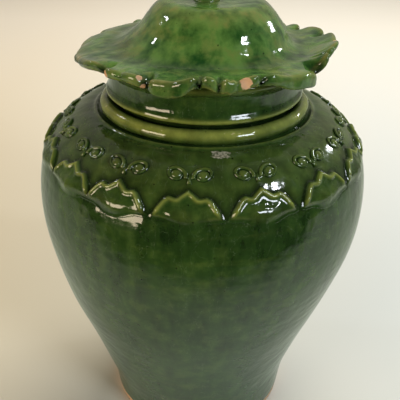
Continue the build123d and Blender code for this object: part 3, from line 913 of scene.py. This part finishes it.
def fault_shares(tree, place, noises, haze):
    """Sockets for how far a place is a pinhole, a scratch, under the pale haze near the bottom, or the
    scar's crust and painted reflection.
    """
    pinholes = add(tree, "ShaderNodeTexVoronoi", {"Vector": place, "Scale": per_mm(PINHOLE_SPACING)})
    pin_size = add(tree, "ShaderNodeMath", {0: noises["fine"], 1: 0.16}, operation="MULTIPLY")
    pin = add(tree, "ShaderNodeMath", {0: pinholes.outputs["Distance"], 1: pin_size.outputs[0]},
              operation="LESS_THAN")
    pin = add(tree, "ShaderNodeMath", {0: pin.outputs[0], 1: 0.75}, operation="MULTIPLY")

    scratch_place = add(tree, "ShaderNodeMapping", {
        "Vector": place, "Rotation": (0.5, 0.3, 0.8), "Scale": (1, 0.22, 0.5),
    })
    scratches = add(tree, "ShaderNodeTexNoise", {
        "Vector": scratch_place.outputs[0], "Scale": per_mm(11), "Detail": 4.0, "Distortion": 0.7,
    })
    off_line = add(tree, "ShaderNodeMath", {0: scratches.outputs["Fac"], 1: 0.5}, operation="SUBTRACT")
    off_line = add(tree, "ShaderNodeMath", {0: off_line.outputs[0]}, operation="ABSOLUTE")
    scratch = add(tree, "ShaderNodeMapRange", {
        "Value": off_line.outputs[0], "From Min": 0.0, "From Max": 0.004, "To Min": haze, "To Max": 0.0,
    })

    # A pale blue-grey haze that grows towards the bottom.
    height = add(tree, "ShaderNodeSeparateXYZ", {0: place}).outputs["Z"]
    low_haze = add(tree, "ShaderNodeMapRange", {
        "Value": height, "From Min": LOW_HAZE_LINE[0] * MM, "From Max": LOW_HAZE_LINE[1] * MM,
        "To Min": haze, "To Max": 0.0,
    })
    # The scar's pale crust: a rough kiln scar, and also a painted reflection.
    scar_and_reflection_mark = add(tree, "ShaderNodeAttribute", attribute_name="scar_and_reflection")
    ragged = add(tree, "ShaderNodeMath", {0: noises["fine"], 1: 1.6, 2: scar_and_reflection_mark.outputs["Fac"]},
                 operation="MULTIPLY_ADD")
    scar_and_reflection_share = add(tree, "ShaderNodeMapRange", {
        "Value": ragged.outputs[0], "From Min": 1.45, "From Max": 1.65, "To Max": 0.9,
    })
    return [node.outputs[0] for node in (pin, scratch, low_haze, scar_and_reflection_share)]


# %% Where the clay is bare
def bare_share(tree, place, ragged, foot_line, spots):
    """A socket that is 1 where the clay is bare: below the foot line and in the spots. Edges are ragged."""
    masks = []
    if foot_line is not None:
        height = add(tree, "ShaderNodeSeparateXYZ", {0: place}).outputs["Z"]
        slow = add(tree, "ShaderNodeTexNoise", {"Vector": place, "Scale": per_mm(28), "Detail": 3.0})
        level = add(tree, "ShaderNodeMath", {0: slow.outputs["Fac"], 1: -16 * MM, 2: height},
                    operation="MULTIPLY_ADD")
        masks.append(add(tree, "ShaderNodeMapRange", {
            "Value": level.outputs[0], "To Min": 1.0, "To Max": 0.0,
            "From Min": (foot_line - 8.4) * MM, "From Max": (foot_line - 7.6) * MM,
        }))
    for x, y, z, size in spots:
        distance = add(tree, "ShaderNodeVectorMath", {0: place, 1: (x * MM, y * MM, z * MM)},
                       operation="DISTANCE")
        rough_edge = add(tree, "ShaderNodeMath", {
            0: ragged, 1: size * 0.9 * MM, 2: distance.outputs["Value"],
        }, operation="MULTIPLY_ADD")
        masks.append(add(tree, "ShaderNodeMapRange", {
            "Value": rough_edge.outputs[0], "From Min": 1.32 * size * MM, "From Max": 1.48 * size * MM,
            "To Min": 1.0, "To Max": 0.0,
        }))
    total = masks[0].outputs[0]
    for mask in masks[1:]:
        total = add(tree, "ShaderNodeMath", {0: total, 1: mask.outputs[0]}, operation="MAXIMUM").outputs[0]
    return total


# %% The lead glaze
def lead_glaze(name, pool, full, thin, uneven, patches, lumps, haze, foot_line=None, spots=()):
    """Copper-green lead glaze over red clay. It is full over most of the pot, dark where it pools, which
    also paints shade, and olive where it is thin, which on some crests also paints highlights. uneven is
    how much its green varies, patches how much it thins by chance, lumps how high its surface swells in
    millimetres, and haze how scratched it is and how strong its pale haze near the bottom is. Below
    foot_line, in millimetres, and inside the spots, each an x, y, z and radius in millimetres, the clay is
    bare."""
    material, tree = new_material(name)
    place = add(tree, "ShaderNodeTexCoord").outputs["Object"]
    noises = glaze_noises(tree, place)
    tone = add(tree, "ShaderNodeMath", {0: noises["slow"], 1: noises["mottle"]}, operation="ADD")
    tone = add(tree, "ShaderNodeMath", {0: tone.outputs[0], 1: noises["runs"]}, operation="ADD")
    tone = add(tree, "ShaderNodeMapRange", {
        "Value": tone.outputs[0], "From Min": 1.5 - 0.3 / uneven, "From Max": 1.5 + 0.3 / uneven,
    })
    thinness, rubbed_and_glint, pooled_and_shaded = thickness_shares(tree, noises, patches)
    pin, scratch, low_haze, scar_and_reflection_share = fault_shares(tree, place, noises, haze)
    bare = bare_share(tree, place, noises["fine"], foot_line, spots)
    crust_grain = add(tree, "ShaderNodeMapRange", {
        "Value": noises["crust"], "From Min": 0.42, "From Max": 0.58,
    })
    crust = add(tree, "ShaderNodeMix", {
        "Factor": crust_grain.outputs[0], "A": colour("#6f6b55"), "B": colour("#b9b39c"),
    }, data_type="RGBA")
    grit = add(tree, "ShaderNodeMix", {
        "Factor": noises["mottle"], "A": colour("#a97a55"), "B": colour("#d3b18c"),
    }, data_type="RGBA")
    surface = colour(pool)
    # Layers: the rubbed specks are also painted highlights, the pooled dark is also painted shade, and the
    # scar's crust is also a painted reflection.
    for share, coat in [
        (tone.outputs[0], colour(full)), (thinness, colour(thin)), (rubbed_and_glint, colour("#c2bb92")),
        (pooled_and_shaded, colour("#0d1708")), (pin, colour("#14120a")), (scratch, colour("#93a183")),
        (low_haze, colour("#8b9a94")), (scar_and_reflection_share, crust.outputs["Result"]), (bare, grit.outputs["Result"]),
    ]:
        surface = add(tree, "ShaderNodeMix", {"Factor": share, "A": surface, "B": coat},
                      data_type="RGBA").outputs["Result"]

    worn = add(tree, "ShaderNodeMapRange", {
        "Value": noises["runs"], "From Min": 0.35, "From Max": 0.7,
        "To Min": 0.05, "To Max": 0.13 + 0.2 * haze,
    })
    scuffed = add(tree, "ShaderNodeMath", {0: scratch, 1: 0.35, 2: worn.outputs[0]},
                  operation="MULTIPLY_ADD")
    matt = add(tree, "ShaderNodeMath", {0: bare, 1: scar_and_reflection_share}, operation="MAXIMUM")
    rough = add(tree, "ShaderNodeMix", {
        "Factor": matt.outputs[0], "A": scuffed.outputs[0], "B": 0.85,
    }, data_type="FLOAT")

    relief = 0.0
    for pattern, depth in [
        ("swell", lumps), ("ripple", 0.12 * lumps), ("runs", 0.07), ("bands", 0.04), ("fine", 0.03 * lumps),
    ]:
        relief = add(tree, "ShaderNodeMath", {0: noises[pattern], 1: depth * MM, 2: relief},
                     operation="MULTIPLY_ADD").outputs[0]
    bump = add(tree, "ShaderNodeBump", {"Height": relief, "Strength": 1.0, "Distance": 1.0})
    shader = add(tree, "ShaderNodeBsdfPrincipled", {
        "Base Color": surface, "Roughness": rough.outputs["Result"], "Normal": bump.outputs[0],
        "IOR": GLAZE_IOR,
    })
    add(tree, "ShaderNodeOutputMaterial", {"Surface": shader.outputs[0]})
    print(f"{name}: {len(tree.nodes)} nodes")
    return material


# %% Two pots of glaze
jar_glaze = lead_glaze(
    "copper_green_lead_glaze", pool="#15270e", full="#324f1f", thin="#8c9546", uneven=0.7, patches=0.1,
    lumps=0.8, haze=0.16, foot_line=7,
)
lid_glaze = lead_glaze(
    "copper_green_lead_glaze_lid", pool="#1b4319", full="#5a7f3a", thin="#76743f", uneven=1.25,
    patches=0.75, lumps=1.2, haze=0.05, spots=chip_spots,
)

# %% [markdown]
# ## Unglazed clay
#
# The pressing weights and the ring under the lid touch food or slide in the neck, and were left bare. Fired
# clay is matt, slightly pink-orange, and full of sand that shows as pale and dark grains.

# %% Bare clay
def bare_clay(name, light, dark, grain):
    """Fired unglazed clay with sand in it; grain is the size of the sand in millimetres."""
    material, tree = new_material(name)
    place = add(tree, "ShaderNodeTexCoord").outputs["Object"]
    cloud = add(tree, "ShaderNodeTexNoise", {"Vector": place, "Scale": per_mm(18), "Detail": 5.0})
    base = add(tree, "ShaderNodeMix", {
        "Factor": cloud.outputs["Fac"], "A": colour(dark), "B": colour(light),
    }, data_type="RGBA")
    sand = add(tree, "ShaderNodeTexVoronoi", {"Vector": place, "Scale": per_mm(grain)})
    speck = add(tree, "ShaderNodeMapRange", {
        "Value": sand.outputs["Distance"], "From Min": 0.12, "From Max": 0.3, "To Min": 0.6, "To Max": 0.0,
    })
    spotted = add(tree, "ShaderNodeMix", {
        "Factor": speck.outputs[0], "A": base.outputs["Result"], "B": colour("#5b3b26"),
    }, data_type="RGBA")
    grit = add(tree, "ShaderNodeTexNoise", {"Vector": place, "Scale": per_mm(grain), "Detail": 4.0})
    height = add(tree, "ShaderNodeMath", {0: grit.outputs["Fac"], 1: 0.25 * MM}, operation="MULTIPLY")
    bump = add(tree, "ShaderNodeBump", {"Height": height.outputs[0], "Strength": 1.0, "Distance": 1.0})
    shader = add(tree, "ShaderNodeBsdfPrincipled", {
        "Base Color": spotted.outputs["Result"], "Roughness": 0.88, "Normal": bump.outputs[0], "IOR": 1.5,
    })
    add(tree, "ShaderNodeOutputMaterial", {"Surface": shader.outputs[0]})
    print(f"{name}: {len(tree.nodes)} nodes")
    return material


red_clay = bare_clay("bare_red_earthenware", light="#c08a5e", dark="#9a5f39", grain=1.6)

# %% Give every piece its finish and its body
LEAVES = [f"leaf_sprig_{n:02d}" for n in range(1, 17)]
CURLS = [f"tendril_pair_{n:02d}" for n in range(1, 17)]
finished = [
    (jar, jar_glaze, "jar", ["jar_body"]),
    (collar, jar_glaze, "jar", ["neck_collar"]),
    (bead, jar_glaze, "jar", ["neck_bead"]),
    (leaf_band, jar_glaze, "jar", LEAVES),
    (curl_band, jar_glaze, "jar", CURLS),
    (lid, lid_glaze, "lid", ["lid_shell"]),
    (knob, lid_glaze, "lid", ["lid_knob"]),
]
for piece, material, body, nodes in finished:
    piece.data.materials.clear()
    piece.data.materials.append(material)
    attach(piece, body)
    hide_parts(*nodes)

for name in ("lid_locating_ring", "weight_left", "weight_right"):
    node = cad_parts[name]
    node.data.materials.clear()
    node.data.materials.append(red_clay)
print("pieces:", [piece.name for piece, *_ in finished])

# %% [markdown]
# ## The floor, the light and the camera
#
# A glossy pot shows its surroundings more than its own colour, so the surroundings are part of the finish.
# The crock stands on a pale sheet near the edge of a table in a dim room. The sheet shows in the foot, the
# dim room in the belly and the shoulder, and a few small windows make the sharp highlights. The sky looks
# plain and pale to the camera, and the sheet is pale with painted shade, darker towards the front and
# warmer on the left. Only to a reflection does the floor end in front.

# %% Floor
TABLE_EDGE = 0.33       # metres in front of the crock, where the pale sheet ends in reflections

floor_mesh = bpy.data.meshes.new("floor")
floor_mesh.from_pydata([(-3, -3, 0), (3, -3, 0), (3, 3, 0), (-3, 3, 0)], [], [(0, 1, 2, 3)])
floor = bpy.data.objects.new("floor", floor_mesh)
bpy.context.scene.collection.objects.link(floor)
paper, tree = new_material("pale_paper_sheet")
place = add(tree, "ShaderNodeTexCoord").outputs["Object"]
split = add(tree, "ShaderNodeSeparateXYZ", {0: place})
# Painted shade on the sheet: darker towards the front and warmer on the left, as if lit from behind.
side = add(tree, "ShaderNodeMapRange", {"Value": split.outputs["X"], "From Min": -0.45, "From Max": 0.35})
shaded_near, lit_far = [
    add(tree, "ShaderNodeMix", {"Factor": side.outputs[0], "A": colour(left), "B": colour(right)},
        data_type="RGBA")
    for left, right in [("#cfc1a3", "#cbd2d2"), ("#f0e7d8", "#f0ece3")]
]
depth = add(tree, "ShaderNodeMapRange", {"Value": split.outputs["Y"], "From Min": 0.1, "From Max": 1.5})
painted_light_tint = add(tree, "ShaderNodeMix", {
    "Factor": depth.outputs[0], "A": shaded_near.outputs["Result"], "B": lit_far.outputs["Result"],
}, data_type="RGBA")
# Reflections see the sheet dimmer and blue-grey, and past the table's edge a dim room colour: painted shade
# in reflections.
ray = add(tree, "ShaderNodeLightPath")
dimmed = add(tree, "ShaderNodeMix", {
    "Factor": ray.outputs["Is Glossy Ray"], "A": painted_light_tint.outputs["Result"], "B": colour("#b2b9ae"),
}, data_type="RGBA")
sheet = add(tree, "ShaderNodeBsdfPrincipled", {"Base Color": dimmed.outputs["Result"], "Roughness": 0.8})
room = add(tree, "ShaderNodeEmission", {"Color": colour("#2a2f22"), "Strength": 0.5})
beyond = add(tree, "ShaderNodeMapRange", {
    "Value": split.outputs["Y"], "From Min": -TABLE_EDGE - 0.1, "From Max": -TABLE_EDGE + 0.1,
    "To Min": 1.0, "To Max": 0.0,
})
hidden = add(tree, "ShaderNodeMath", {0: ray.outputs["Is Glossy Ray"], 1: beyond.outputs[0]},
             operation="MULTIPLY")
ground = add(tree, "ShaderNodeMixShader", {0: hidden.outputs[0], 1: sheet.outputs[0], 2: room.outputs[0]})
add(tree, "ShaderNodeOutputMaterial", {"Surface": ground.outputs[0]})
floor_mesh.materials.append(paper)
print("floor:", len(tree.nodes), "shader nodes")

# %% Room and lights
world = bpy.data.worlds.new("dim_room")
bpy.context.scene.world = world
world.use_nodes = True
tree = world.node_tree
tree.nodes.clear()
way = add(tree, "ShaderNodeTexCoord").outputs["Generated"]
split = add(tree, "ShaderNodeSeparateXYZ", {0: way})
behind = add(tree, "ShaderNodeMapRange", {"Value": split.outputs["Y"], "From Min": -0.25, "From Max": 0.75})
wall = add(tree, "ShaderNodeMix", {
    "Factor": behind.outputs[0], "A": colour("#23271d"), "B": colour("#c9c4b4"),
}, data_type="RGBA")
room = add(tree, "ShaderNodeBackground", {"Color": wall.outputs["Result"], "Strength": 0.66})
pale = add(tree, "ShaderNodeBackground", {"Color": colour("#eee7da"), "Strength": 1.0})
ray = add(tree, "ShaderNodeLightPath")
seen = add(tree, "ShaderNodeMixShader", {
    0: ray.outputs["Is Camera Ray"], 1: room.outputs[0], 2: pale.outputs[0],
})
add(tree, "ShaderNodeOutputWorld", {"Surface": seen.outputs[0]})

AIM = Vector((0, 0, 0.25))


def window(name, turned, raised, distance, size, power, code):
    """A rectangular light facing the crock, turned from the front and raised by angles in degrees."""
    light = bpy.data.lights.new(name, "AREA")
    light.shape = "RECTANGLE"
    light.size, light.size_y = size
    light.energy = power
    light.color = colour(code)[:3]
    lamp = bpy.data.objects.new(name, light)
    a, b = radians(turned), radians(raised)
    lamp.location = AIM + distance * Vector((sin(a) * cos(b), -cos(a) * cos(b), sin(b)))
    lamp.rotation_euler = (AIM - lamp.location).to_track_quat("-Z", "Y").to_euler()
    lamp.visible_camera = False
    bpy.context.scene.collection.objects.link(lamp)
    return lamp


WINDOWS = [             # name, turned, raised, metres away, size in metres, watts, colour
    ("day_window", 63, 45, 1.7, (0.12, 0.10), 4, "#f1f6ff"),
    ("side_window", 43, 25, 1.8, (0.52, 0.46), 15, "#eef5ff"),
    ("far_window", 122, 24, 2.0, (0.14, 0.12), 4, "#f4f8ff"),
    ("warm_lamp", -52, 5, 2.4, (1.25, 0.95), 38, "#ffe9c8"),
    ("back_lamp", -113, 40, 1.8, (0.13, 0.10), 2.2, "#f6f8ff"),
    ("soft_ceiling", 158, 55, 2.4, (1.8, 1.8), 60, "#fff8ec"),
]
for place in WINDOWS:
    lamp = window(*place)
lamp.visible_glossy = False     # the ceiling only lights the pot, and makes no highlight on it
print("windows:", len(WINDOWS))

# %% Camera
CAMERA_AWAY = 0.474
CAMERA_UP = 0.484
CAMERA_DOWN = 30.2      # degrees
CAMERA_LEAN = 1.3       # the camera was held a little askew
CAMERA_TURN = 0.2

camera_data = bpy.data.cameras.new("camera")
camera_data.lens = 54
camera_data.sensor_width = 36
camera = bpy.data.objects.new("camera", camera_data)
camera.location = (0, -CAMERA_AWAY, CAMERA_UP)
pointing = Matrix.Identity(4)
for degrees, axis in [(CAMERA_TURN, "Z"), (90 - CAMERA_DOWN, "X"), (CAMERA_LEAN, "Z")]:
    pointing = pointing @ Matrix.Rotation(radians(degrees), 4, axis)
camera.rotation_euler = pointing.to_euler()
print("camera:", camera_data.lens, "mm lens, looking down", CAMERA_DOWN, "degrees")
bpy.context.scene.collection.objects.link(camera)
bpy.context.scene.camera = camera
bpy.context.scene.view_settings.view_transform = "Standard"
